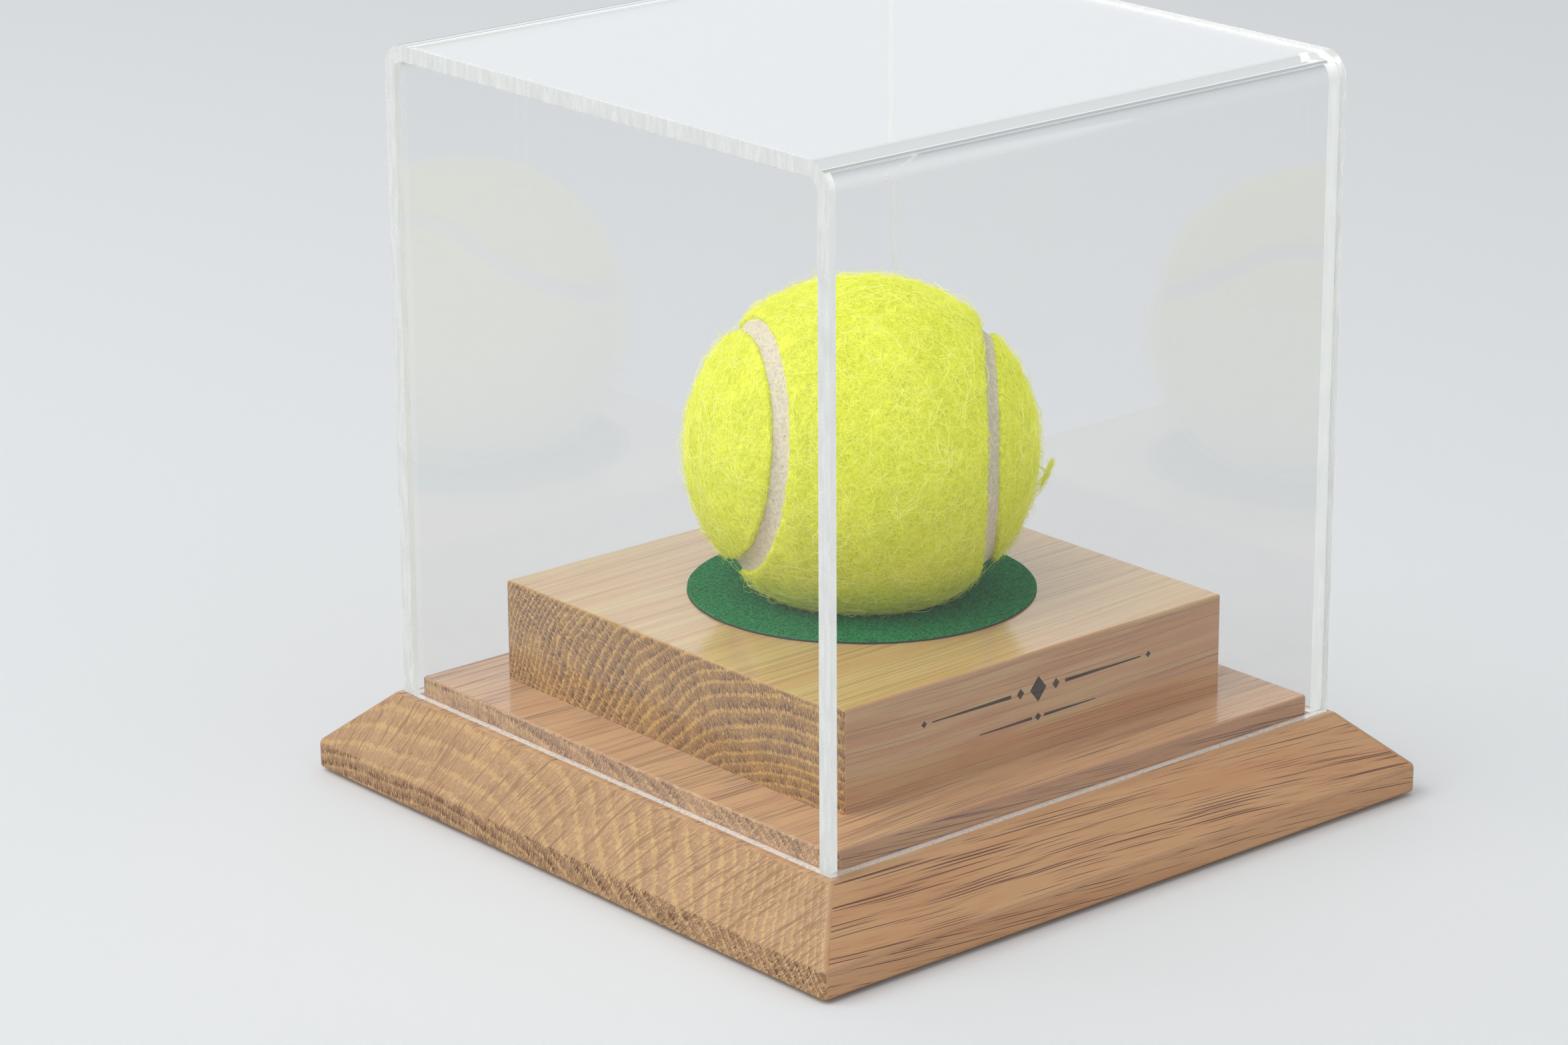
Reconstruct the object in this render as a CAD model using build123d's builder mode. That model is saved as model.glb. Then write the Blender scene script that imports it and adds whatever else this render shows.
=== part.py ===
from build123d import *
from math import atan, cos, degrees, radians, sin, sqrt
import os

# Tennis ball display case: an oak plinth with a square block, a ball resting in the block's bored
# seat, and a clear cover that drops over a raised plateau onto the plinth's ledge.
# Millimetres. Origin at the centre of the underside, +Z up. The block's front face looks to -Y,
# and the open ends of the bent cover sheet face -X and +X.

# Cover: one sheet bent to an upside-down U, with a flat panel cemented inside each end. Its sawn
# foot stands on the ledge on its high spots, with a hair's gap elsewhere.
cover_side = 128.7
cover_height = 131.8
sheet_thickness = 3.0
bend_inside_radius = 2.25
cement_line = 0.1
foot_gap = 0.05

# Plinth: one planed board with a bevelled rim, a ledge for the cover and a plateau inside it
board_thickness = 20.0
rim_height = 4.8
bevel_run = 10.8
ledge_margin = 1.85
plateau_rise = 3.8
plateau_clearance = 0.45
plateau_corner_radius = 1.0
rim_arris_radius = 1.4
small_arris_radius = 0.6

# Block with the ball's seat and the felt ring round its mouth
block_side = 97.4
block_height = 20.5
seat_radius = 18.0
seat_depth = 11.0
ring_outer_radius = 33.15
ring_thickness = 0.6

# Ball: a cemented rubber core, two dog-bone felt panels and the rubber seam between them
ball_diameter = 66.0
felt_thickness = 3.2
core_wall = 3.3
seam_width = 3.8
seam_depth = 0.9
seam_hollow = 0.25
seam_foot_gap = 0.02
seat_gap = 0.3
lobe_tilt = 7.66

# How the ball lies in its seat: where the middle of one panel's waist points, and a lobe's end
waist_direction = (0.454, 0.802, -0.389)
lobe_direction = (-0.854, 0.516, 0.067)

# Two countersunk screws from below and the baize that covers them
screw_shank_radius = 2.0
screw_head_radius = 4.0
screw_head_recess = 5.0
screw_bite = 14.0
screw_clearance = 0.25
thread_clearance = 0.05
pilot_extra_depth = 1.0
drive_slot_width = 0.9
drive_slot_length = 4.4
drive_slot_depth = 1.6
baize_thickness = 0.8
baize_inset = 2.5
baize_corner_radius = 1.5

# Sizes that follow
ledge_side = cover_side + 2 * ledge_margin
base_side = ledge_side + 2 * bevel_run
cover_inside = cover_side - 2 * sheet_thickness
plateau_side = cover_inside - 2 * plateau_clearance
board_bottom = baize_thickness
board_top = board_bottom + board_thickness
ledge_z = board_top - plateau_rise
foot_z = ledge_z + foot_gap
bevel_rise = board_thickness - plateau_rise - rim_height
block_top = board_top + block_height
ring_top = block_top + ring_thickness
ball_radius = ball_diameter / 2
core_radius = ball_radius - felt_thickness
ball_centre_z = ring_top + sqrt((ball_radius + seat_gap) ** 2 - seat_radius**2)
screw_offset = (seat_radius + block_side / 2) / 2
screw_length = board_thickness - screw_head_recess + screw_bite
head_z = board_bottom + screw_head_recess

os.makedirs("parts", exist_ok=True)


def finish(piece, label):
    """Labels a piece and writes it to its own file."""
    piece.part.label = label
    export_step(piece.part, f"parts/{label}.step")


# Plinth: the board is bevelled all round, and a rebate leaves the ledge round the plateau
with BuildPart() as base_plinth:
    with BuildSketch(Plane.XY.offset(board_bottom)):
        Rectangle(base_side, base_side)
    extrude(amount=board_thickness - plateau_rise)
    rim = base_plinth.faces().sort_by(Axis.Z)[-1]
    chamfer(rim.edges(), length=bevel_rise, length2=bevel_run, reference=rim)
    underside = base_plinth.faces().sort_by(Axis.Z)[0]
    outer_arrises = base_plinth.edges() - underside.edges()
    fillet(outer_arrises, radius=rim_arris_radius)
    fillet(base_plinth.faces().sort_by(Axis.Z)[0].edges(), radius=small_arris_radius)
    with BuildSketch(Plane.XY.offset(ledge_z)) as plateau_plan:
        RectangleRounded(plateau_side, plateau_side, plateau_corner_radius)
    extrude(amount=plateau_rise)
    fillet(base_plinth.faces().sort_by(Axis.Z)[-1].edges(), radius=small_arris_radius)
    with Locations(Plane(origin=(0, 0, board_bottom), z_dir=(0, 0, -1))):
        with GridLocations(2 * screw_offset, 0, 2, 1):
            Hole(radius=screw_head_radius + screw_clearance, depth=screw_head_recess)
    with Locations(Plane(origin=(0, 0, head_z), z_dir=(0, 0, -1))):
        with GridLocations(2 * screw_offset, 0, 2, 1):
            CounterSinkHole(
                radius=screw_shank_radius + screw_clearance,
                counter_sink_radius=screw_head_radius,
                depth=board_thickness,
                counter_sink_angle=90,
            )
finish(base_plinth, "base_plinth")

# Block: eased square block, bored from the top for the ball and piloted from below for the screws
with BuildPart() as display_block:
    with BuildSketch(Plane.XY.offset(board_top)):
        RectangleRounded(block_side, block_side, small_arris_radius)
    extrude(amount=block_height)
    fillet(display_block.faces().sort_by(Axis.Z)[-1].edges(), radius=small_arris_radius)
    with Locations((0, 0, block_top)):
        Hole(radius=seat_radius, depth=seat_depth)
    with Locations(Plane(origin=(0, 0, board_top), z_dir=(0, 0, -1))):
        with GridLocations(2 * screw_offset, 0, 2, 1):
            Hole(radius=screw_shank_radius + thread_clearance, depth=screw_bite + pilot_extra_depth)
finish(display_block, "display_block")

# Felt ring: die-cut, stuck flat on the block with its hole in line with the seat
with BuildPart() as seat_felt_ring:
    with BuildSketch(Plane.XY.offset(block_top)):
        Circle(ring_outer_radius)
        Circle(seat_radius, mode=Mode.SUBTRACT)
    extrude(amount=ring_thickness)
finish(seat_felt_ring, "seat_felt_ring")

# Screws: countersunk heads sunk below the plinth's underside, shanks up into the block
with BuildPart() as block_screws:
    for screw_x in (-screw_offset, screw_offset):
        cone_top = head_z + screw_head_radius - screw_shank_radius
        tip_z = head_z + screw_length
        with BuildSketch(Plane.XZ):
            with BuildLine():
                Polyline(
                    (screw_x, head_z),
                    (screw_x + screw_head_radius, head_z),
                    (screw_x + screw_shank_radius, cone_top),
                    (screw_x + screw_shank_radius, tip_z - screw_shank_radius),
                    (screw_x, tip_z),
                    close=True,
                )
            make_face()
        revolve(axis=Axis((screw_x, 0, 0), (0, 0, 1)))
    with BuildSketch(Plane.XY.offset(head_z)):
        with GridLocations(2 * screw_offset, 0, 2, 1):
            Rectangle(drive_slot_length, drive_slot_width)
            Rectangle(drive_slot_width, drive_slot_length)
    extrude(amount=drive_slot_depth, mode=Mode.SUBTRACT)
finish(block_screws, "block_screws")

# Baize: a thin sheet under the whole board, a little inside its edges, over the screw holes
with BuildPart() as underside_baize:
    with BuildSketch():
        baize_side = base_side - 2 * baize_inset
        RectangleRounded(baize_side, baize_side, baize_corner_radius)
    extrude(amount=baize_thickness)
finish(underside_baize, "underside_baize")

# Bent sheet: the middle line of the sheet runs up the front, over the top and down the back
with BuildPart() as cover_bent_sheet:
    with BuildSketch(Plane.YZ.offset(-cover_side / 2)):
        with BuildLine():
            leg = (cover_side - sheet_thickness) / 2
            crown = ledge_z + cover_height - sheet_thickness / 2
            FilletPolyline(
                (-leg, foot_z),
                (-leg, crown),
                (leg, crown),
                (leg, foot_z),
                radius=bend_inside_radius + sheet_thickness / 2,
            )
        trace(line_width=sheet_thickness)
    extrude(amount=cover_side)
finish(cover_bent_sheet, "cover_bent_sheet")

# End panels: flat, cut to the inside of the bent sheet less the cement line all round, and cemented
# in flush with its cut edges
for label, panel_x in (
    ("cover_end_panel_left", -cover_side / 2),
    ("cover_end_panel_right", cover_side / 2 - sheet_thickness),
):
    with BuildPart() as end_panel:
        with BuildSketch(Plane.YZ.offset(panel_x)) as panel_plan:
            with Locations((0, foot_z)):
                Rectangle(
                    cover_inside - 2 * cement_line,
                    cover_height - foot_gap - sheet_thickness - cement_line,
                    align=(Align.CENTER, Align.MIN),
                )
            fillet(
                panel_plan.vertices().group_by(Axis.Y)[-1],
                radius=bend_inside_radius - cement_line,
            )
        extrude(amount=sheet_thickness)
    finish(end_panel, label)

# Ball: its own frame, with the two panels' waists on its poles and the four lobes on its equator
ball_frame = Plane(origin=(0, 0, ball_centre_z), x_dir=lobe_direction, z_dir=waist_direction)


def in_ball(azimuth, elevation):
    """Unit direction in space for a direction given in degrees in the ball's own frame."""
    flat = cos(radians(elevation))
    local = Vector(
        flat * cos(radians(azimuth)),
        flat * sin(radians(azimuth)),
        sin(radians(elevation)),
    )
    return ball_frame.from_local_coords(local) - ball_frame.origin


# The seam is four arcs of circles on the ball, one round each lobe's end. Their axes lean from the
# equator by the lobe's tilt, in turn to one pole and the other, and each arc runs smoothly into
# the next on the equator, midway between two lobes.
lobe_span = 180 + 2 * degrees(atan(sin(radians(lobe_tilt))))


def seam_ring(inner_radius, outer_radius, hollow):
    """The seam's section revolved about each of the four lobe axes, end to end."""
    with BuildPart() as ring:
        for quarter in range(4):
            lean = -1 if quarter % 2 == 0 else 1
            lobe_axis = in_ball(90 * quarter, lean * lobe_tilt)
            start = in_ball(90 * quarter + 45 * lean, 0)
            section_plane = Plane(
                origin=ball_frame.origin,
                x_dir=start,
                z_dir=lobe_axis.cross(start),
            )
            with BuildSketch(section_plane):
                with BuildLine():
                    Polyline(
                        (outer_radius, -seam_width / 2),
                        (inner_radius, -seam_width / 2),
                        (inner_radius, seam_width / 2),
                        (outer_radius, seam_width / 2),
                    )
                    ThreePointArc(
                        (outer_radius, seam_width / 2),
                        (outer_radius - hollow, 0),
                        (outer_radius, -seam_width / 2),
                    )
                make_face()
            revolve(axis=Axis(ball_frame.origin, lobe_axis), revolution_arc=lobe_span)
    return ring.part


# Core: two moulded half shells, cemented rim to rim
for label, kept_side in (
    ("ball_core_upper_half", Keep.TOP),
    ("ball_core_lower_half", Keep.BOTTOM),
):
    with BuildPart() as core_half:
        with Locations(ball_frame.origin):
            Sphere(core_radius)
            Sphere(core_radius - core_wall, mode=Mode.SUBTRACT)
        split(bisect_by=ball_frame, keep=kept_side)
    finish(core_half, label)

# Seam: rubber in the channel between the panels, its face hollow and below the felt
with BuildPart() as ball_seam:
    add(seam_ring(core_radius + seam_foot_gap, ball_radius - seam_depth, seam_hollow))
finish(ball_seam, "ball_seam")

# Felt: the seam's channel parts the layer round the core into two equal dog-bone panels
with BuildPart() as felt_layer:
    with Locations(ball_frame.origin):
        Sphere(ball_radius)
        Sphere(core_radius, mode=Mode.SUBTRACT)
    add(
        seam_ring(core_radius - core_wall, ball_radius + felt_thickness, seam_hollow),
        mode=Mode.SUBTRACT,
    )
panels = felt_layer.solids().sort_by(Axis(ball_frame.origin, ball_frame.z_dir))

with BuildPart() as ball_felt_panel_a:
    add(panels[-1])
finish(ball_felt_panel_a, "ball_felt_panel_a")

with BuildPart() as ball_felt_panel_b:
    add(panels[0])
finish(ball_felt_panel_b, "ball_felt_panel_b")
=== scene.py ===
from math import cos, pi, radians, sin

import bmesh
import bpy
import numpy as np
from mathutils import Matrix, Vector, kdtree, noise


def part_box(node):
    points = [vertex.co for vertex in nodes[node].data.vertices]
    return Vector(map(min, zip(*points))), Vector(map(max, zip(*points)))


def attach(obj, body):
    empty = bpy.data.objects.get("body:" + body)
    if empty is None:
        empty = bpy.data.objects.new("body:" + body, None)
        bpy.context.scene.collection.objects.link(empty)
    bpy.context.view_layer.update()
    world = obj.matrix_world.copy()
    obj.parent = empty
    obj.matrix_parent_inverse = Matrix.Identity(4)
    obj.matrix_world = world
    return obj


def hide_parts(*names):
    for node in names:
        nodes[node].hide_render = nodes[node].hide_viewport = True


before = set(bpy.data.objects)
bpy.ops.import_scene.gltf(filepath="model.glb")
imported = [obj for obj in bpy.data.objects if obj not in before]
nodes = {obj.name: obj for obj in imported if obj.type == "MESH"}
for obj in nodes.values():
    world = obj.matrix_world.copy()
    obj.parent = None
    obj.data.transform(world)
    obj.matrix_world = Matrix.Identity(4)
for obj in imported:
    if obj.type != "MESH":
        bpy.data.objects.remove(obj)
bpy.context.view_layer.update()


# The view: a long lens looks down on the near corner of the case, between the block's front
# face and its left end. The far corner of the cover's roof leaves the top of the picture.

camera_place = Vector((-0.59558, -0.67461, 0.35368))
view_turn = radians(49.53)
view_dip = radians(18.404)
view_roll = radians(-0.343)
away = Vector((cos(view_turn) * cos(view_dip), sin(view_turn) * cos(view_dip), -sin(view_dip)))
level_right = Vector((sin(view_turn), -cos(view_turn), 0))
level_up = level_right.cross(away)
view_right = level_right * cos(view_roll) + level_up * sin(view_roll)
view_up = level_up * cos(view_roll) - level_right * sin(view_roll)
view_axes = Matrix((view_right, view_up, -away)).transposed()

camera = bpy.data.objects.new("camera", bpy.data.cameras.new("camera"))
camera.data.lens = 111.83
camera.data.sensor_width = 36
camera.data.clip_start = 0.05
camera.data.clip_end = 30
camera.matrix_world = Matrix.Translation(camera_place) @ view_axes.to_4x4()
bpy.context.scene.collection.objects.link(camera)
bpy.context.scene.camera = camera


# The table and the light: a seamless pale sheet, a broad soft window high on the left, three
# weaker panels and a bright surround. They are the setting and no part of the case.

def link_object(name, data):
    """A new object for a mesh or a light, in the scene."""
    made = bpy.data.objects.new(name, data)
    bpy.context.scene.collection.objects.link(made)
    return made


def new_material(name):
    """An empty node material, its tree and its Principled shader."""
    material = bpy.data.materials.new(name)
    material.use_nodes = True
    return material, material.node_tree, material.node_tree.nodes["Principled BSDF"]


def set_inputs(tree, node, sockets):
    """Sets a node's inputs to plain values, or wires them to other nodes' outputs."""
    for name, value in sockets.items():
        if isinstance(value, bpy.types.NodeSocket):
            tree.links.new(value, node.inputs[name])
        else:
            node.inputs[name].default_value = value


def add_node(tree, kind, sockets=None, **settings):
    """A node with its settings made and its inputs set or wired."""
    made = tree.nodes.new("ShaderNode" + kind)
    for name, value in settings.items():
        setattr(made, name, value)
    set_inputs(tree, made, sockets or {})
    return made


def calc(tree, operation, first, second=0.0, third=0.0, clamp=False):
    """The result of a Math node."""
    values = {0: first, 1: second, 2: third}
    return add_node(tree, "Math", values, operation=operation, use_clamp=clamp).outputs[0]


def times(tree, first, second):
    """The product of two values."""
    return calc(tree, "MULTIPLY", first, second)


def tint(tree, factor, first, second):
    """Two colours mixed."""
    sockets = {0: factor, 6: first, 7: second}
    return add_node(tree, "Mix", sockets, data_type="RGBA", blend_type="MIX").outputs[2]


floor_half = 4.0
floor_mesh = bpy.data.meshes.new("table")
floor_mesh.from_pydata(
    [(x * floor_half, y * floor_half, 0) for x, y in ((-1, -1), (1, -1), (1, 1), (-1, 1))],
    [],
    [(0, 1, 2, 3)],
)
table = link_object("table", floor_mesh)

# painted shade: where the cover's outer walls mirror the sheet, its colour is darker than the sheet
# itself
pale_sheet, tree, shader = new_material("pale sheet")
path = add_node(tree, "LightPath").outputs
odd_depth = calc(tree, "MODULO", path["Ray Depth"], 2.0)
outermost = calc(tree, "LESS_THAN", path["Ray Depth"], 3.5)
undiffused = calc(tree, "LESS_THAN", path["Diffuse Depth"], 0.5)
shaded_mirror_image = times(tree, odd_depth, times(tree, outermost, undiffused))
sheet_colour = tint(tree, shaded_mirror_image, (0.80, 0.81, 0.82, 1), (0.42, 0.43, 0.44, 1))
set_inputs(
    tree, shader, {"Base Color": sheet_colour, "Roughness": 0.8, "Specular IOR Level": 0.2}
)
floor_mesh.materials.append(pale_sheet)

lit_place = Vector((0, 0, 0.05))
lamps = (
    ("window", (-1.22, 0.43, 1.36), (1.6, 1.6), 19.5, (1.0, 0.995, 0.98)),
    ("overhead", (-0.2, -0.2, 1.8), (1.6, 1.6), 4.0, (1.0, 0.99, 0.97)),
    ("backdrop", (2.05, 2.40, 1.00), (3.5, 1.4), 8.0, (0.98, 0.99, 1.0)),
    ("fill", (0.50, -1.35, 0.50), (1.2, 1.0), 2.2, (1.0, 0.98, 0.96)),
)
for name, place, size, power, colour in lamps:
    light = bpy.data.lights.new(name, "AREA")
    light.shape = "RECTANGLE"
    light.size, light.size_y = size
    light.energy = power
    light.color = colour
    lamp = link_object(name, light)
    lamp.location = place
    lamp.rotation_euler = (lit_place - lamp.location).to_track_quat("-Z", "Y").to_euler()

world = bpy.data.worlds.new("surround")
world.use_nodes = True
surround = world.node_tree.nodes["Background"]
set_inputs(world.node_tree, surround, {"Color": (0.93, 0.965, 1.0, 1), "Strength": 0.52})
bpy.context.scene.world = world
bpy.context.scene.view_settings.view_transform = "Standard"


# Oak: the grain that both boards share. Growth rings lie round a pith line that runs along X,
# crossed by rays and filled with long pores, so an end shows arcs and a face shows streaks.
# Lengths inside the group are in millimetres.

def plus(tree, first, second):
    """The sum of two values."""
    return calc(tree, "ADD", first, second)


def vector_calc(tree, operation, *places):
    """The result of a Vector Math node: a number for a length or a dot product, else a vector."""
    made = add_node(tree, "VectorMath", dict(enumerate(places)), operation=operation)
    return made.outputs["Value" if operation in ("LENGTH", "DOT_PRODUCT") else "Vector"]


def ramp(tree, value, low, high, to_low=0.0, to_high=1.0):
    """A value eased from one range to another, and held at its ends."""
    sockets = {"Value": value, "From Min": low, "From Max": high, "To Min": to_low, "To Max": to_high}
    return add_node(tree, "MapRange", sockets, interpolation_type="SMOOTHSTEP").outputs[0]


def speckle(tree, place, scale=(1, 1, 1), size=1.0, detail=2.0, rough=0.5):
    """Noise over a place stretched by a scale for each axis."""
    stretched = vector_calc(tree, "MULTIPLY", place, scale)
    sockets = {"Vector": stretched, "Scale": size, "Detail": detail, "Roughness": rough}
    return add_node(tree, "TexNoise", sockets).outputs["Fac"]


def bumped(tree, height, strength, distance):
    """The normal of a surface that a height roughens."""
    sockets = {"Strength": strength, "Distance": distance, "Height": height}
    return add_node(tree, "Bump", sockets).outputs[0]


def new_group(name, inputs, outputs):
    """A node group with sockets of the kinds and names given: its tree, inputs and output node."""
    tree = bpy.data.node_groups.new(name, "ShaderNodeTree")
    for way, sockets in (("INPUT", inputs), ("OUTPUT", outputs)):
        for kind, names in sockets.items():
            for socket in names:
                tree.interface.new_socket(socket, in_out=way, socket_type="NodeSocket" + kind)
    return tree, tree.nodes.new("NodeGroupInput").outputs, tree.nodes.new("NodeGroupOutput")


def swayed_grain(tree, in_mm):
    """A place pushed about across the log, as the rings and the pores wander along it."""
    swayed = in_mm
    for scale, reach in (((0.006, 0.028, 0.028), 9.0), ((0.035, 0.13, 0.13), 1.0)):
        sockets = {"Vector": vector_calc(tree, "MULTIPLY", in_mm, scale), "Scale": 1.0, "Detail": 1.0}
        sway = add_node(tree, "TexNoise", sockets).outputs["Color"]
        swayed = vector_calc(tree, "MULTIPLY_ADD", sway, (0, reach, reach), swayed)
    return swayed


def growth_rings(tree, given, polar, radius):
    """How far a place lies through its ring, 0 to 1. Rings are wide at one radius."""
    beyond = calc(tree, "SUBTRACT", radius, given["Widest At"])
    cubed = times(tree, times(tree, beyond, beyond), beyond)
    steady = plus(
        tree, times(tree, radius, given["Ring Rate"]), times(tree, cubed, given["Narrowing"])
    )
    ragged = speckle(tree, polar, (0.5, 0.9, 0.10), detail=2.0)
    drift = speckle(tree, polar, (0.05, 0.016, 0.004), detail=0.0)
    waver = plus(tree, times(tree, ragged, 0.42), times(tree, drift, 1.5))
    return calc(tree, "FRACT", plus(tree, steady, waver))


def end_grain(tree, given, polar, in_ring, upright):
    """The colour and the hollows of an end: rows of gold beads along each ring, dark strokes
    across them and long thin rays. Gold and strokes are fainter where the end tips up, as on the
    bevel: painted sheen."""
    early = times(tree, ramp(tree, in_ring, 0.0, 0.10), ramp(tree, in_ring, 0.26, 0.42, 1.0, 0.0))
    after = times(tree, ramp(tree, in_ring, 0.24, 0.36), ramp(tree, in_ring, 0.42, 1.0, 1.0, 0.45))

    beads = speckle(tree, polar, (0.85, 1.5, 0.12), detail=1.0)
    crumbs = speckle(tree, polar, (2.8, 3.4, 0.25), detail=1.0)
    beaded = plus(tree, times(tree, beads, 1.2), times(tree, crumbs, 0.6))
    gold = ramp(tree, plus(tree, times(tree, early, 0.32), beaded), 0.94, 1.20)
    # painted sheen: the gold is fainter where the end tips up
    sheen_faded_gold = times(tree, gold, calc(tree, "MULTIPLY_ADD", upright, 0.35, 0.65))
    cloud = speckle(tree, polar, (0.06, 0.05, 0.012), detail=2.0)
    clouded = times(tree, calc(tree, "SUBTRACT", cloud, 0.5), 0.6)
    goldness = calc(tree, "ADD", sheen_faded_gold, clouded, clamp=True)
    ground = tint(tree, goldness, given["End Brown"], given["End Gold"])

    flames = ramp(tree, speckle(tree, polar, (0.85, 5.2, 0.15), detail=1.0, rough=0.4), 0.44, 0.58)
    calm = ramp(tree, speckle(tree, polar, (0.16, 0.14, 0.02), detail=1.0), 0.36, 0.56, 0.35, 1.0)
    open_to = plus(tree, after, times(tree, early, 0.55))
    struck = times(tree, times(tree, open_to, calm), flames)
    short = ramp(tree, speckle(tree, polar, (1.9, 7.0, 0.20), detail=0.0), 0.48, 0.62)
    flecks = times(tree, short, calc(tree, "SUBTRACT", 0.6, times(tree, gold, 0.3)))
    hollows = calc(tree, "MAXIMUM", struck, flecks)

    # painted sheen: the strokes are fainter where the end tips up
    weight = calc(tree, "MULTIPLY_ADD", upright, 0.75, 0.48)
    inked = calc(tree, "MULTIPLY", hollows, weight, clamp=True)
    crossing = speckle(tree, polar, (0.02, 0.85, 0.05), detail=1.0, rough=0.4)
    rays = ramp(tree, calc(tree, "ABSOLUTE", calc(tree, "SUBTRACT", crossing, 0.5)), 0.040, 0.016)
    streaked = times(tree, rays, times(tree, given["Ray Amount"], 0.7))
    darkest = calc(tree, "MAXIMUM", inked, streaked)
    return tint(tree, darkest, ground, given["End Stroke"]), hollows


def long_face(tree, given, polar, from_pith, facing):
    """The colour, the hollows and the fine fibre of a long face: soft bands of tone, and open
    pores drawn out along it."""
    face_way = vector_calc(tree, "NORMALIZE", vector_calc(tree, "CROSS_PRODUCT", facing, (1, 0, 0)))
    down_face = vector_calc(tree, "DOT_PRODUCT", from_pith, face_way)
    own_face = vector_calc(tree, "DOT_PRODUCT", facing, (0, 3.1, 5.7))
    along = add_node(tree, "SeparateXYZ", {0: from_pith}).outputs[0]
    on_face = add_node(tree, "CombineXYZ", {0: down_face, 1: along, 2: own_face}).outputs[0]
    fibre = speckle(tree, on_face, (4.5, 0.05, 1.0), detail=2.0)
    grouped = speckle(tree, on_face, (0.30, 0.012, 1.0), detail=0.0)

    pores = 0.0
    for across, shrink, reach, strength in ((2.2, 0.31, 0.27, 1.0), (3.6, 0.62, 0.22, 0.6)):
        spread = {
            0: times(tree, plus(tree, down_face, own_face), across),
            1: times(tree, along, calc(tree, "DIVIDE", shrink, given["Pore Length"])),
        }
        sockets = {
            "Vector": add_node(tree, "CombineXYZ", spread).outputs[0],
            "Scale": 1.0,
            "Randomness": 1.0,
        }
        cells = add_node(tree, "TexVoronoi", sockets, voronoi_dimensions="2D").outputs["Distance"]
        drawn = times(tree, ramp(tree, grouped, 0.34, 0.60, 0.62, 1.0), reach)
        line = ramp(tree, calc(tree, "SUBTRACT", drawn, cells), 0.0, 0.11, 0.0, strength)
        pores = calc(tree, "MAXIMUM", line, pores)
    hollows = times(tree, pores, given["Pore Amount"])

    bands = speckle(tree, polar, (0.34, 0.34, 0.007), detail=2.0)
    # painted sheen, partly the oak's own colour: faces that look along Y are pushed warmer, and the
    # top stays paler
    upright_face = calc(tree, "ABSOLUTE", add_node(tree, "SeparateXYZ", {0: facing}).outputs[1])
    tone = plus(
        tree,
        times(tree, calc(tree, "SUBTRACT", fibre, 0.5), 0.7),
        times(tree, upright_face, 0.45),
    )
    warmth = calc(tree, "ADD", ramp(tree, bands, 0.32, 0.68, 0.0, 0.55), tone, clamp=True)
    ground = tint(tree, warmth, given["Face Pale"], given["Face Warm"])
    return tint(tree, hollows, ground, given["Face Pore"]), hollows, fibre


def oak_grain():
    """The node group: where the pith lies, how tight the rings are, and the wood's colours."""
    placing = ("Reach", "Ring Rate", "Widest At", "Narrowing")
    amounts = ("Pore Amount", "Pore Length", "Ray Amount")
    colours = ("End Gold", "End Brown", "End Stroke", "Face Pale", "Face Warm", "Face Pore")
    tree, given, gone = new_group(
        "oak grain",
        {"Vector": ("Pith", "Lean"), "Float": placing + amounts, "Color": colours},
        {"Color": ("Color",), "Float": ("Roughness", "Height")},
    )

    # the pith leans, and each place is given by its distance from it, its turn and its length
    seen = add_node(tree, "TexCoord").outputs
    in_mm = vector_calc(tree, "MULTIPLY", seen["Object"], (1000, 1000, 1000))
    along_log = add_node(tree, "SeparateXYZ", {0: in_mm}).outputs[0]
    pith = vector_calc(tree, "MULTIPLY_ADD", given["Lean"], along_log, given["Pith"])
    from_pith = vector_calc(tree, "SUBTRACT", swayed_grain(tree, in_mm), pith)
    along, across, up = add_node(tree, "SeparateXYZ", {0: from_pith}).outputs
    flat_pair = add_node(tree, "CombineXYZ", {1: across, 2: up}).outputs[0]
    radius = vector_calc(tree, "LENGTH", flat_pair)
    turn = times(tree, calc(tree, "ARCTAN2", up, across), given["Reach"])
    polar = add_node(tree, "CombineXYZ", {0: radius, 1: turn, 2: along}).outputs[0]

    facing_x, _, facing_z = add_node(tree, "SeparateXYZ", {0: seen["Normal"]}).outputs
    # upright is 1 where a face stands and 0 where it tips up; the ends grow fainter with it as painted
    # sheen
    upright = ramp(tree, calc(tree, "ABSOLUTE", facing_z), 0.3, 0.6, 1.0, 0.0)
    in_ring = growth_rings(tree, given, polar, radius)
    end_colour, end_hollows = end_grain(tree, given, polar, in_ring, upright)
    face_colour, face_hollows, fibre = long_face(tree, given, polar, from_pith, seen["Normal"])

    end_on = ramp(tree, calc(tree, "ABSOLUTE", facing_x), 0.35, 0.65)
    mixed = {"Factor": end_on, "A": face_hollows, "B": end_hollows}
    hollows = add_node(tree, "Mix", mixed, data_type="FLOAT").outputs[0]
    set_inputs(
        tree,
        gone,
        {
            "Color": tint(tree, end_on, face_colour, end_colour),
            "Roughness": ramp(tree, hollows, 0.0, 1.0, 0.42, 0.62),
            "Height": calc(tree, "SUBTRACT", times(tree, fibre, 0.2), hollows),
        },
    )
    return tree


grain = oak_grain()


def oak(name, coat, coat_ior, **sockets):
    """Satin lacquered oak, cut from its own place in the log."""
    material, tree, shader = new_material(name)
    placed = {socket.replace("_", " ").title(): value for socket, value in sockets.items()}
    wood = add_node(tree, "Group", placed, node_tree=grain).outputs
    set_inputs(
        tree,
        shader,
        {
            "Base Color": wood["Color"],
            "Roughness": wood["Roughness"],
            "Normal": bumped(tree, wood["Height"], 0.35, 0.0001),
            "Specular IOR Level": 0.25,
            "Coat Weight": coat,
            "Coat IOR": coat_ior,
            "Coat Roughness": 0.14,
        },
    )
    return material


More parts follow.
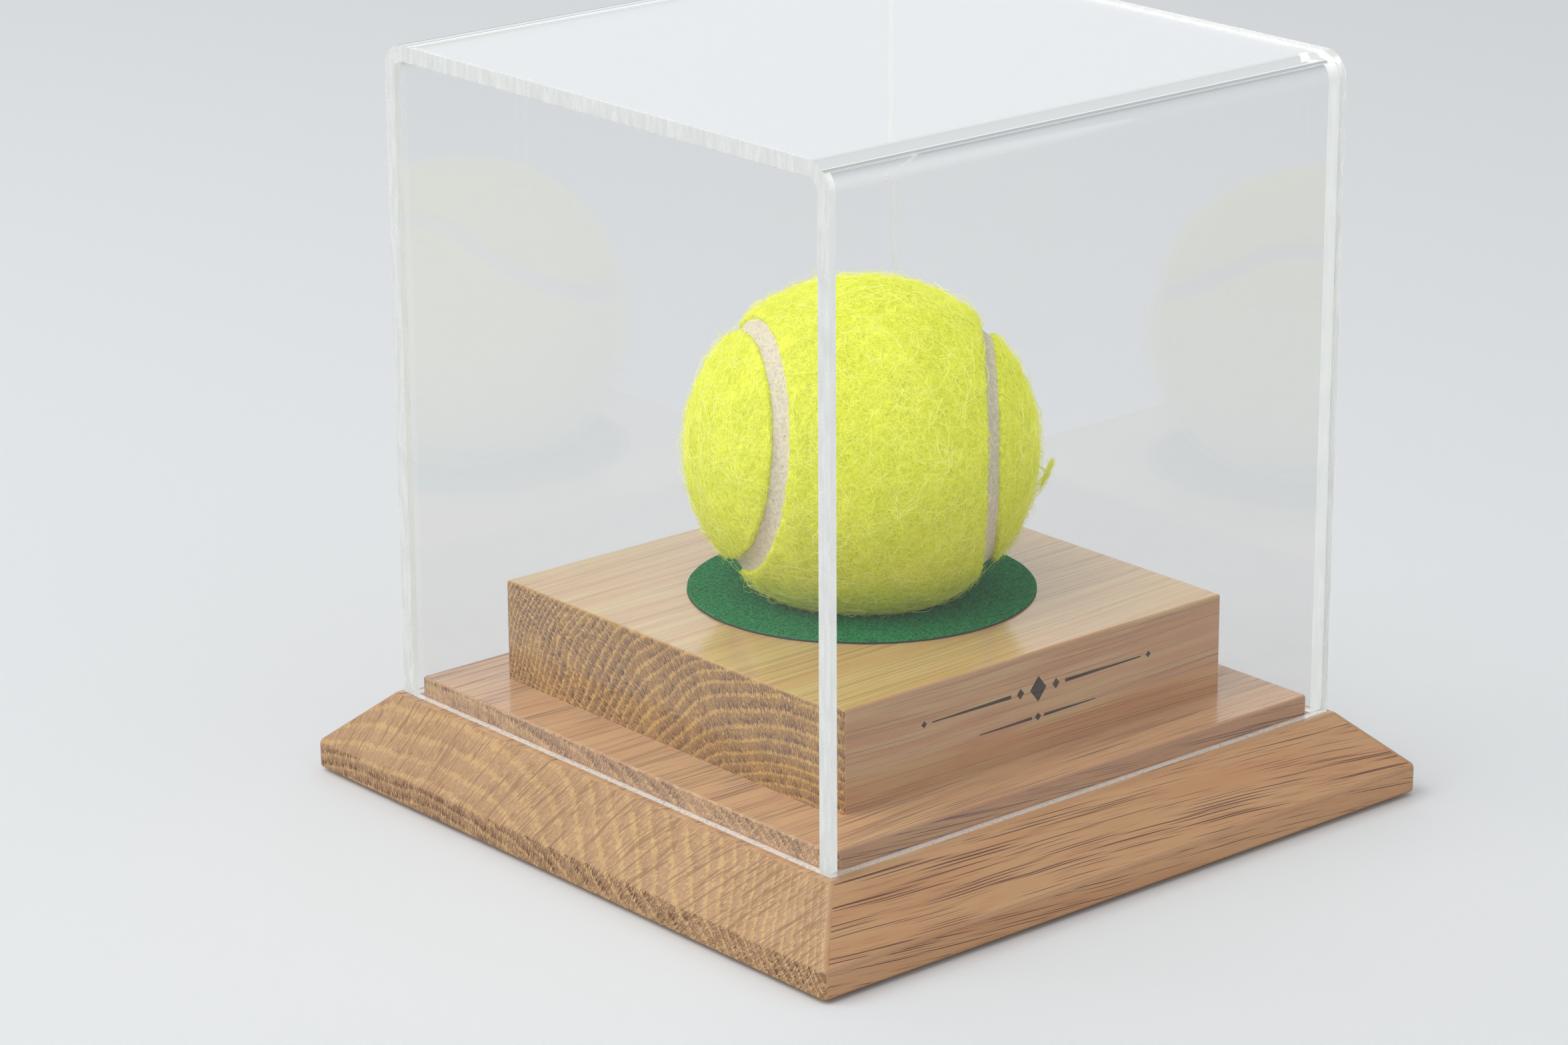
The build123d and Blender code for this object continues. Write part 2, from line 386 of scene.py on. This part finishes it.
# Plinth: one planed oak board, bevelled round its rim and rebated to leave the raised middle
# that the cover drops over. Its pith lies far below its back half.

def dress(node, *materials):
    """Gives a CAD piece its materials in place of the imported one."""
    mesh = nodes[node].data
    mesh.materials.clear()
    for material in materials:
        mesh.materials.append(material)


plinth_oak = oak(
    "plinth oak",
    coat=0.8,
    coat_ior=1.5,
    pith=(0, 52, -88),
    lean=(0, 0, -0.075),
    reach=115.0,
    ring_rate=0.30,
    widest_at=113.0,
    narrowing=0.0001,
    end_gold=(0.74, 0.47, 0.205, 1),
    end_brown=(0.57, 0.345, 0.18, 1),
    end_stroke=(0.18, 0.076, 0.032, 1),
    face_pale=(0.63, 0.38, 0.19, 1),
    face_warm=(0.55, 0.272, 0.126, 1),
    face_pore=(0.13, 0.055, 0.042, 1),
    pore_amount=0.95,
    pore_length=17.0,
    ray_amount=0.75,
)
dress("base_plinth", plinth_oak)


# Block: a square of oak from another board, with its rings arching up from below its front
# edge. It is drilled from the top for the ball and drawn down by two screws.

block_oak = oak(
    "block oak",
    coat=1.0,
    coat_ior=1.6,
    pith=(0, -35, -9),
    lean=(0, 0.03, -0.02),
    reach=70.0,
    ring_rate=0.37,
    widest_at=52.0,
    narrowing=0.000077,
    end_gold=(0.74, 0.44, 0.115, 1),
    end_brown=(0.46, 0.24, 0.062, 1),
    end_stroke=(0.115, 0.044, 0.012, 1),
    face_pale=(0.63, 0.445, 0.205, 1),
    face_warm=(0.57, 0.275, 0.115, 1),
    face_pore=(0.32, 0.15, 0.06, 1),
    pore_amount=0.75,
    pore_length=34.0,
    ray_amount=0.35,
)
dress("display_block", block_oak)


# Felt ring: thin green flock on a dark backing, die-cut and stuck flat on the block round the
# seat. Its nap rounds the upper edges, and the cut edge shows the backing.

def new_mesh(name, points, faces):
    """A smooth mesh from arrays of points and of corner numbers."""
    made = bpy.data.meshes.new(name)
    made.from_pydata([tuple(p) for p in points], [], [tuple(f) for f in faces])
    made.polygons.foreach_set("use_smooth", [True] * len(made.polygons))
    made.update()
    return made


def object_place(tree):
    """Where on its piece a point of the surface lies, in metres."""
    return add_node(tree, "TexCoord").outputs["Object"]


flock, tree, shader = new_material("green flock")
naps = speckle(tree, object_place(tree), size=2000.0, detail=3.0, rough=0.75)
flock_colour = tint(
    tree, ramp(tree, naps, 0.32, 0.68), (0.002, 0.075, 0.018, 1), (0.034, 0.29, 0.10, 1)
)
set_inputs(
    tree,
    shader,
    {
        "Base Color": flock_colour,
        "Roughness": 0.95,
        "Specular IOR Level": 0.0,
        "Normal": bumped(tree, naps, 0.7, 0.0002),
    },
)

backing, tree, shader = new_material("cut backing")
scorch = speckle(tree, object_place(tree), size=1500.0)
backing_colour = tint(tree, scorch, (0.012, 0.014, 0.012, 1), (0.045, 0.05, 0.04, 1))
set_inputs(tree, shader, {"Base Color": backing_colour, "Roughness": 0.8})

ring_low, ring_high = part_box("seat_felt_ring")
ring_outer = ring_high.x
ring_inner = 0.018
ring_segments = 480
ring_rows = 30
backing_thick = 0.00022
nap_edge = 0.00020
nap_round = 0.00016
nap_drop = 0.00006
cut_slope = 0.00003
ring_shrink = 0.00004
ring_profile = (
    (ring_outer, ring_low.z),
    (ring_outer, ring_low.z + backing_thick),
    (ring_outer - cut_slope, ring_high.z - nap_edge),
    (ring_outer - nap_round, ring_high.z - nap_drop),
    *(
        (ring_outer + (ring_inner - ring_outer) * k / ring_rows, ring_high.z)
        for k in range(1, ring_rows)
    ),
    (ring_inner + nap_round, ring_high.z - nap_drop),
    (ring_inner, ring_high.z - nap_edge),
    (ring_inner, ring_low.z),
)

# the cut edges waver, and the nap between them lies in low waves and lumps
points = []
for j in range(ring_segments):
    around = 2 * pi * j / ring_segments
    for k, (reach, height) in enumerate(ring_profile):
        place = Vector((reach * cos(around), reach * sin(around), height))
        waver = noise.noise(place * 220) * 0.00008
        lump = noise.noise(place * 900) * 0.00003 + noise.noise(place * 90) * 0.00004
        if 2 < k < len(ring_profile) - 1:
            place.z += lump - nap_drop
        place.x += (waver - ring_shrink) * cos(around)
        place.y += (waver - ring_shrink) * sin(around)
        points.append(place)
count = len(ring_profile)
faces = [
    (
        j * count + k,
        ((j + 1) % ring_segments) * count + k,
        ((j + 1) % ring_segments) * count + (k + 1) % count,
        j * count + (k + 1) % count,
    )
    for j in range(ring_segments)
    for k in range(count)
]
ring = link_object("seat_ring_felt", new_mesh("seat_ring_felt", points, faces))
ring.data.materials.append(flock)
ring.data.materials.append(backing)
cut_rows = (0, 1, count - 2, count - 1)
for number, polygon in enumerate(ring.data.polygons):
    polygon.material_index = 1 if number % count in cut_rows else 0
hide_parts("seat_felt_ring")
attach(ring, "base")


# Screws: two countersunk wood screws of zinc plated steel, driven up through the plinth into
# the block. They lie sunk in the plinth's underside, behind the baize.

zinc, tree, shader = new_material("zinc plate")
blotch = speckle(tree, object_place(tree), size=900.0)
zinc_colour = tint(tree, blotch, (0.62, 0.62, 0.60, 1), (0.72, 0.71, 0.66, 1))
zinc_roughness = ramp(tree, blotch, 0.3, 0.7, 0.3, 0.5)
set_inputs(
    tree, shader, {"Base Color": zinc_colour, "Roughness": zinc_roughness, "Metallic": 1.0}
)
dress("block_screws", zinc)


# Baize: dark green napped cloth, cut square and glued flat under the plinth a little inside its
# edges, where it hides the screws and keeps the oak from scratching a shelf.

baize, tree, shader = new_material("green baize")
seen = object_place(tree)
nap = speckle(tree, seen, size=2600.0, detail=3.0)
warp = add_node(tree, "TexWave", {"Vector": seen, "Scale": 210.0, "Distortion": 1.5}).outputs["Fac"]
woven = plus(tree, nap, times(tree, warp, 0.4))
baize_colour = tint(
    tree, ramp(tree, nap, 0.3, 0.7), (0.008, 0.06, 0.028, 1), (0.03, 0.14, 0.065, 1)
)
set_inputs(
    tree,
    shader,
    {"Base Color": baize_colour, "Roughness": 0.95, "Normal": bumped(tree, woven, 0.5, 0.0002)},
)

low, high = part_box("underside_baize")
cloth_squares = 90
rim_from = 0.499
rim_fray = 0.00018
glue_gap = 0.00012
nap_deep = 0.00010
cloth = bmesh.new()
bmesh.ops.create_grid(cloth, x_segments=cloth_squares, y_segments=cloth_squares, size=0.5)
for vertex in cloth.verts:
    x, y = vertex.co.x, vertex.co.y
    at_rim = max(abs(x), abs(y)) > rim_from
    place = Vector((x * (high.x - low.x), y * (high.y - low.y), 0))
    fray = (noise.noise(place * 160) - 0.6) * rim_fray if at_rim else 0.0
    vertex.co = place * (1 + fray / high.x)
    vertex.co.z = high.z - glue_gap
pulled = bmesh.ops.extrude_face_region(cloth, geom=list(cloth.faces))
for piece in pulled["geom"]:
    if isinstance(piece, bmesh.types.BMVert):
        piece.co.z = low.z + abs(noise.noise(piece.co * 300)) * nap_deep
cloth_mesh = bpy.data.meshes.new("underside_cloth")
bmesh.ops.recalc_face_normals(cloth, faces=cloth.faces)
cloth.to_mesh(cloth_mesh)
cloth.free()
cloth_mesh.materials.append(baize)
base_cloth = link_object("underside_cloth", cloth_mesh)
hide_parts("underside_baize")
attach(base_cloth, "base")


# Cover: 3 mm clear acrylic. The long sheet is bent over a hot wire, the ends are cemented in,
# and every sawn edge is scraped but not polished, so it shows pale and half clear.

# painted light: where a ray has been caught between the faces for more than two reflections the
# acrylic glows pale, and shadow rays pass straight through
clear, tree, shader = new_material("clear acrylic")
set_inputs(
    tree,
    shader,
    {"Base Color": (1.0, 1.0, 1.0, 1), "Roughness": 0.0, "IOR": 1.49, "Transmission Weight": 1.0},
)
path = add_node(tree, "LightPath").outputs
caught = calc(tree, "GREATER_THAN", path["Glossy Depth"], 2.5)
painted_piped_glow = add_node(tree, "Emission", {"Color": (0.80, 0.83, 0.83, 1), "Strength": 0.9}).outputs[0]
inside = add_node(tree, "MixShader", {0: caught, 1: shader.outputs[0], 2: painted_piped_glow}).outputs[0]
through = add_node(tree, "BsdfTransparent", {"Color": (0.975, 0.98, 0.98, 1)}).outputs[0]
either = add_node(tree, "MixShader", {0: path["Is Shadow Ray"], 1: inside, 2: through}).outputs[0]
set_inputs(tree, tree.nodes["Material Output"], {"Surface": either})


def cut_streaks():
    """The node group: fine streaks left by a saw or a scraper, closest along the long axis."""
    tree, given, gone = new_group("cut streaks", {"Vector": ("Scale",)}, {"Float": ("Streak", "Worn")})
    streak = speckle(tree, object_place(tree), given["Scale"], detail=3.0)
    set_inputs(tree, gone, {"Streak": streak, "Worn": ramp(tree, streak, 0.3, 0.7)})
    return tree


streaks = cut_streaks()


def cut_acrylic(name, base, hazy, see_through, glow):
    """A sawn or cemented acrylic face, streaked along the cut, with a painted glow in place of light
    piped along the sheet.
    """
    material, tree, shader = new_material(name)
    cut = add_node(tree, "Group", {"Scale": (900, 900, 160)}, node_tree=streaks).outputs
    darker = tuple(0.88 * part for part in base)
    set_inputs(
        tree,
        shader,
        {
            "Base Color": tint(tree, cut["Worn"], darker + (1,), base + (1,)),
            "Roughness": ramp(tree, cut["Streak"], 0.3, 0.7, hazy + 0.1, hazy - 0.1),
            "IOR": 1.49,
            "Transmission Weight": see_through,
            "Emission Color": (0.93, 0.96, 0.95, 1),
            "Emission Strength": glow,
            "Normal": bumped(tree, cut["Streak"], 0.03, 0.0002),
        },
    )
    return material


# painted light: the scraped edges glow faintly and the cemented edges more
scraped = cut_acrylic("scraped acrylic edge", (0.90, 0.91, 0.88), 0.32, 0.55, 0.03)
cemented = cut_acrylic("cemented acrylic edge", (0.74, 0.76, 0.74), 0.6, 0.1, 0.40)
as_clear, as_scraped, as_cemented = range(3)
foot_within = 0.0005

for name in ("cover_bent_sheet", "cover_end_panel_left", "cover_end_panel_right"):
    dress(name, clear, scraped, cemented)
    piece = nodes[name]
    low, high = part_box(name)
    for polygon in piece.data.polygons:
        normal = polygon.normal
        at_foot = normal.z < -0.9 and polygon.center.z < low.z + foot_within
        if name == "cover_bent_sheet":
            is_scraped = at_foot or abs(normal.x) > 0.9
            is_cemented = False
        else:
            is_scraped = at_foot or normal.z > 0.9
            is_cemented = abs(normal.x) < 0.5
        polygon.material_index = as_scraped if is_scraped else as_cemented if is_cemented else as_clear


# Ball core: two half shells of dark moulded rubber, cemented at the ball's middle. They are out
# of sight under the felt.

rubber, tree, shader = new_material("core rubber")
blotch = speckle(tree, object_place(tree), size=400.0)
rubber_colour = tint(tree, blotch, (0.02, 0.02, 0.02, 1), (0.06, 0.06, 0.055, 1))
set_inputs(tree, shader, {"Base Color": rubber_colour, "Roughness": 0.8})
for name in ("ball_core_upper_half", "ball_core_lower_half"):
    dress(name, rubber)


# Seam: the grey rubber that fills the channel between the two felt panels. It cures there in
# the mould, so it has a dull, finely pitted skin.

seam, tree, shader = new_material("seam rubber")
seen = object_place(tree)
mottle = speckle(tree, seen, size=1300.0, detail=3.0, rough=0.7)
pits = speckle(tree, seen, size=2600.0, detail=2.0)
seam_ground = tint(
    tree, ramp(tree, mottle, 0.35, 0.65), (0.65, 0.575, 0.45, 1), (0.80, 0.73, 0.59, 1)
)
set_inputs(
    tree,
    shader,
    {
        "Base Color": tint(tree, ramp(tree, pits, 0.36, 0.28), seam_ground, (0.46, 0.39, 0.29, 1)),
        "Roughness": 0.9,
        "Normal": bumped(tree, plus(tree, mottle, pits), 0.35, 0.0002),
    },
)
dress("ball_seam", seam)


# Felt: two dog-bone panels of wool and nylon felt, cemented on. The nap is raised and tangled,
# and the cut edges stand ragged along the seam.

upper_low, upper_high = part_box("ball_core_upper_half")
lower_low, lower_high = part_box("ball_core_lower_half")
ball_middle = Vector(
    [(min(upper_low[k], lower_low[k]) + max(upper_high[k], lower_high[k])) / 2 for k in range(3)]
)
middle = np.array(ball_middle)
ball_reach = 0.033
felt_skin = 0.0009
felt_voxel = 0.00055
felt_fray = 0.00034
fibre_root = 0.00012
least_rise = 0.00014
stray_rise = 0.0013
share_over_seam = 0.03
seam_clearance = 0.0006
ring_clearance = 0.0001
seat_rim = 0.0176


def painted_dye_glow():
    """The node group: a painted yellow glow in place of the dye's fluorescence, strong on the ball's
    top and faint below it, as painted light and shade.
    """
    tree, given, gone = new_group("painted dye glow", {"Color": ("Below", "Above")}, {"Color": ("Color",)})
    height = add_node(tree, "SeparateXYZ", {0: object_place(tree)}).outputs[2]
    lit = ramp(tree, height, ball_middle.z - ball_reach, ball_middle.z + 0.5 * ball_reach)
    set_inputs(tree, gone, {"Color": tint(tree, lit, given["Below"], given["Above"])})
    return tree


painted_glow_group = painted_dye_glow()


def painted_glow_colour(tree):
    """The painted glow, placed in a material."""
    ends = {"Below": (0.10, 0.11, 0.01, 1), "Above": (0.97, 1.0, 0.10, 1)}
    return add_node(tree, "Group", ends, node_tree=painted_glow_group).outputs["Color"]


felt, tree, shader = new_material("ball felt")
seen = object_place(tree)
matting = {"Vector": seen, "Scale": 900.0, "Detail": 4.0, "Roughness": 0.6, "Distortion": 1.6}
matted = add_node(tree, "TexNoise", matting).outputs["Fac"]
wide = speckle(tree, seen, size=110.0, detail=2.0)
paleness = plus(tree, ramp(tree, matted, 0.3, 0.7, 0.0, 0.8), ramp(tree, wide, 0.3, 0.7, 0.0, 0.25))
felt_ground = tint(tree, paleness, (0.52, 0.60, 0.02, 1), (0.93, 0.96, 0.10, 1))
fleck = add_node(tree, "TexVoronoi", {"Vector": seen, "Scale": 75.0}).outputs["Distance"]
set_inputs(
    tree,
    shader,
    {
        "Base Color": tint(tree, ramp(tree, fleck, 0.028, 0.018), felt_ground, (0.22, 0.30, 0.26, 1)),
        "Roughness": 0.95,
        "Specular IOR Level": 0.1,
        # painted light: the felt glows yellow, strongly on the ball's top and faintly below
        "Emission Color": painted_glow_colour(tree),
        "Emission Strength": 0.10,
        "Normal": bumped(tree, matted, 0.5, 0.0003),
    },
)


def wool(name, deep, light, glow):
    """Dyed wool, uneven along each strand."""
    material, tree, shader = new_material(name)
    hue = speckle(tree, object_place(tree), size=300.0, detail=2.0)
    set_inputs(
        tree,
        shader,
        {
            "Base Color": tint(tree, ramp(tree, hue, 0.3, 0.7), deep, light),
            "Roughness": 0.8,
            "Specular IOR Level": 0.2,
            # painted light: each strand glows yellow like the felt, strongly on the ball's top
            "Emission Color": painted_glow_colour(tree),
            "Emission Strength": glow,
        },
    )
    return material


strand = wool("raised wool fibre", (0.86, 0.90, 0.07, 1), (0.95, 0.97, 0.18, 1), 0.16)
pale_strand = wool("long wool wisp", (0.95, 0.97, 0.30, 1), (1.0, 1.0, 0.50, 1), 0.24)


def vertex_arrays(mesh):
    """The places and normals of a mesh's vertices."""
    spots = np.empty(len(mesh.vertices) * 3)
    facing = np.empty(len(mesh.vertices) * 3)
    mesh.vertices.foreach_get("co", spots)
    mesh.vertex_normals.foreach_get("vector", facing)
    return spots.reshape(-1, 3), facing.reshape(-1, 3)


def unit(vectors):
    """Vectors along the last axis, each of length one."""
    return vectors / np.maximum(np.linalg.norm(vectors, axis=-1, keepdims=True), 1e-12)


def felt_panel(side):
    """Remeshes a packed panel, lumps its face and frays its cut edges. It gives back the places
    of the vertices, their directions from the ball's middle and the numbers of those on the face."""
    panel = link_object(f"ball_felt_{side}", nodes[f"ball_felt_panel_{side}"].data.copy())
    cut = panel.modifiers.new("felted", "REMESH")
    cut.mode = "VOXEL"
    cut.voxel_size = felt_voxel
    soft = panel.modifiers.new("soft", "SMOOTH")
    soft.iterations = 2
    soft.factor = 0.5
    evaluated = panel.evaluated_get(bpy.context.evaluated_depsgraph_get())
    shaped = bpy.data.meshes.new_from_object(evaluated)
    panel.modifiers.clear()
    panel.data = shaped
    spots, facing = vertex_arrays(shaped)
    outward = unit(spots - middle)
    squarely = (outward * facing).sum(1)
    outside = np.linalg.norm(spots - middle, axis=1) > ball_reach - felt_skin
    at_edge = outside & (squarely < 0.9)
    for k in np.flatnonzero(outside):
        place = Vector(spots[k])
        lump = noise.noise(place * 420) * 0.00010 + noise.noise(place * 1400) * 0.00012
        spots[k] += outward[k] * (lump - 0.00004)
        if at_edge[k]:
            spots[k] += np.array(noise.noise_vector(place * 900)) * felt_fray
    shaped.vertices.foreach_set("co", spots.ravel())
    shaped.update()
    shaped.materials.clear()
    shaped.materials.append(felt)
    shaped.polygons.foreach_set("use_smooth", [True] * len(shaped.polygons))
    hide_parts(f"ball_felt_panel_{side}")
    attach(panel, "ball")
    return spots, outward, np.flatnonzero(outside & (squarely > 0.6))


def laid_fibres(spots, face_on, near, fibres, knots, rise_most, stray, curl_most):
    """Lines of points that start all over a panel's face, lie along it in loose curls and keep
    off the seam and the felt ring."""
    tries = int(fibres * 1.5)
    heading = tangle.normal(size=(tries, 3))
    step = tangle.uniform(0.0006, 0.0013, tries)[:, None]
    curl = tangle.normal(0, curl_most, tries)
    peak = least_rise + rise_most * np.abs(tangle.normal(0, 1, tries))
    peak += np.where(tangle.random(tries) < stray, stray_rise, 0.0) * tangle.random(tries)
    place = spots[tangle.choice(face_on, tries)] + tangle.normal(0, 0.0002, (tries, 3))
    lowest = ring_high.z + ring_clearance
    lines = np.empty((tries, knots, 3))
    for knot in range(knots):
        out = unit(place - middle)
        rise = np.sin(np.pi * (knot + 0.4) / (knots - 0.2)) * peak - fibre_root
        place = middle + out * (ball_reach + rise)[:, None]
        over_ring = (np.hypot(place[:, 0], place[:, 1]) > seat_rim) & (place[:, 2] < lowest)
        place[over_ring, 2] = lowest
        lines[:, knot] = place
        heading = unit(heading - out * (heading * out).sum(1)[:, None])
        swing = (curl + tangle.normal(0, 0.3, tries))[:, None]
        heading = heading * np.cos(swing) + np.cross(out, heading) * np.sin(swing)
        place = place + heading * step
    reaches = middle + unit(lines - middle) * ball_reach
    strays = np.array([max(near.find(spot)[2] for spot in line) for line in reaches[:, 1:]])
    over_seam = tangle.random(tries) < share_over_seam
    return lines[np.flatnonzero((strays < seam_clearance) | over_seam)[:fibres]]


def spin(name, lines, thick, fibre):
    """A mesh of three-sided fibres along lines of points, with half a thickness for each point."""
    fibres, knots = lines.shape[:2]
    along = unit(np.gradient(lines, axis=1))
    across = unit(np.cross(along, unit(lines - middle)))
    lift = np.cross(across, along)
    corners = [across * cos(a) + lift * sin(a) for a in (0, 2 * pi / 3, 4 * pi / 3)]
    skin = np.stack([lines + thick[..., None] * corner for corner in corners], axis=2)
    first = np.arange(fibres)[:, None] * knots * 3
    quads = np.concatenate(
        [
            first + 3 * knot + np.array([k, (k + 1) % 3, (k + 1) % 3 + 3, k + 3])
            for knot in range(knots - 1)
            for k in range(3)
        ]
    )
    last = (knots - 1) * 3
    caps = np.concatenate([first + np.array([2, 1, 0]), first + np.array([last, last + 1, last + 2])])
    mesh = new_mesh(name, skin.reshape(-1, 3), [*quads.tolist(), *caps.tolist()])
    piece = link_object(name, mesh)
    piece.data.materials.append(fibre)
    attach(piece, "ball")


# for each layer: its wool, how many fibres, how many points each, half their thickness, how high
# they rise, what share strays far out, and how much they curl
fibre_layers = {
    "nap": (strand, 7400, 5, 0.000040, 0.00016, 0.02, 0.55),
    "fuzz": (strand, 7400, 5, 0.000026, 0.00055, 0.15, 0.55),
    "wisps": (pale_strand, 900, 13, 0.000040, 0.00045, 0.12, 0.22),
}

# noise_vector is shifted by a seed of its own, which comes from the clock unless it is set
tangle = np.random.default_rng(7)
noise.seed_set(7)
for side in ("a", "b"):
    spots, outward, face_on = felt_panel(side)
    near = kdtree.KDTree(len(face_on))
    for k, number in enumerate(face_on):
        near.insert(middle + outward[number] * ball_reach, k)
    near.balance()
    for layer, (fibre, fibres, knots, thin, rise_most, stray, curl_most) in fibre_layers.items():
        lines = laid_fibres(spots, face_on, near, fibres, knots, rise_most, stray, curl_most)
        taper = np.sqrt(np.sin(np.linspace(0.3, 2.95, knots)))
        thick = thin * tangle.uniform(0.75, 1.3, len(lines))[:, None] * taper
        spin(f"ball_{layer}_{side}", lines, thick, fibre)

# one loose tuft has worked out of the right side of the ball: a fat twist on a thin stalk, and
# the wisps below it, along routes in mm to the right of the ball's middle and up from it
view_frame = np.array([view_right, view_up, -away])
tuft_knots = 9
for layer, strands, spread, route in (
    ("twist", 64, 0.30, ((36.0, -2.5), (35.5, -3.6), (35.0, -4.9), (34.4, -6.1), (33.7, -7.3))),
    ("stalk", 12, 0.10, ((32.2, -2.9), (33.2, -3.5), (34.2, -4.4), (34.9, -4.9), (34.7, -5.8))),
    ("trail", 22, 0.40, ((34.3, -6.2), (33.7, -7.4), (33.0, -8.5), (32.3, -9.2), (31.6, -9.9))),
):
    along_route = np.linspace(0, len(route) - 1, tuft_knots)
    spine = [np.interp(along_route, range(len(route)), np.array(route)[:, k]) for k in range(2)]
    line = np.stack([*spine, np.zeros(tuft_knots)], axis=1)
    lines = line[None] + tangle.normal(0, spread, (strands, 1, 3))
    lines += tangle.normal(0, 0.15, (strands, tuft_knots, 3))
    taper = np.sqrt(np.sin(np.linspace(0.4, 2.95, tuft_knots)))
    thick = 0.000030 * taper * np.ones((strands, 1))
    spin(f"ball_tuft_{layer}", middle + lines @ view_frame / 1000, thick, strand)


# Mark: a plain ornament, burnt a hair's depth into the block's front face in dark brown. A
# lozenge stands between two tapered rules, over a shorter pair. Its corners are in mm.

burnt, tree, shader = new_material("laser burnt oak")
soot = speckle(tree, object_place(tree), (150, 2200, 2200), detail=2.0)
soot_colour = tint(
    tree, ramp(tree, soot, 0.3, 0.7), (0.030, 0.020, 0.016, 1), (0.085, 0.055, 0.040, 1)
)
set_inputs(tree, shader, {"Base Color": soot_colour, "Roughness": 0.7})
block_low, block_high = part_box("display_block")
mark_centre = Vector(
    ((block_low.x + block_high.x) / 2, block_low.y, (block_low.z + block_high.z) / 2)
)
mark_proud = 0.00002
mark_sunk = 0.00015


def lozenge(x, z, half_width, half_height):
    """A diamond's corners round a place on the block's face."""
    return [(x - half_width, z), (x, z - half_height), (x + half_width, z), (x, z + half_height)]


def rule(x_from, x_to, z, thick_from, thick_to):
    """A tapered bar's corners."""
    return [
        (x_from, z - thick_from / 2),
        (x_to, z - thick_to / 2),
        (x_to, z + thick_to / 2),
        (x_from, z + thick_from / 2),
    ]


outlines = [lozenge(0, 2.6, 2.1, 2.6), lozenge(0, -3.0, 0.8, 0.8)]
for way in (-1, 1):
    outlines.append(lozenge(way * 4.6, 2.6, 0.9, 1.1))
    outlines.append(rule(way * 7.0, way * 27.0, 2.6, 0.75, 0.25))
    outlines.append(lozenge(way * 29.0, 2.6, 0.7, 0.7))
    outlines.append(rule(way * 1.6, way * 15.0, -3.0, 0.6, 0.2))
marks = bmesh.new()
for outline in outlines:
    front, back = (
        [marks.verts.new(mark_centre + Vector((x / 1000, depth, z / 1000))) for x, z in outline]
        for depth in (-mark_proud, mark_sunk)
    )
    marks.faces.new(front)
    marks.faces.new(back[::-1])
    for k in range(4):
        marks.faces.new((front[k - 1], front[k], back[k], back[k - 1]))
bmesh.ops.recalc_face_normals(marks, faces=marks.faces)
mark_mesh = bpy.data.meshes.new("front_mark")
marks.to_mesh(mark_mesh)
marks.free()
mark_mesh.materials.append(burnt)
mark = link_object("front_mark", mark_mesh)
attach(mark, "base")
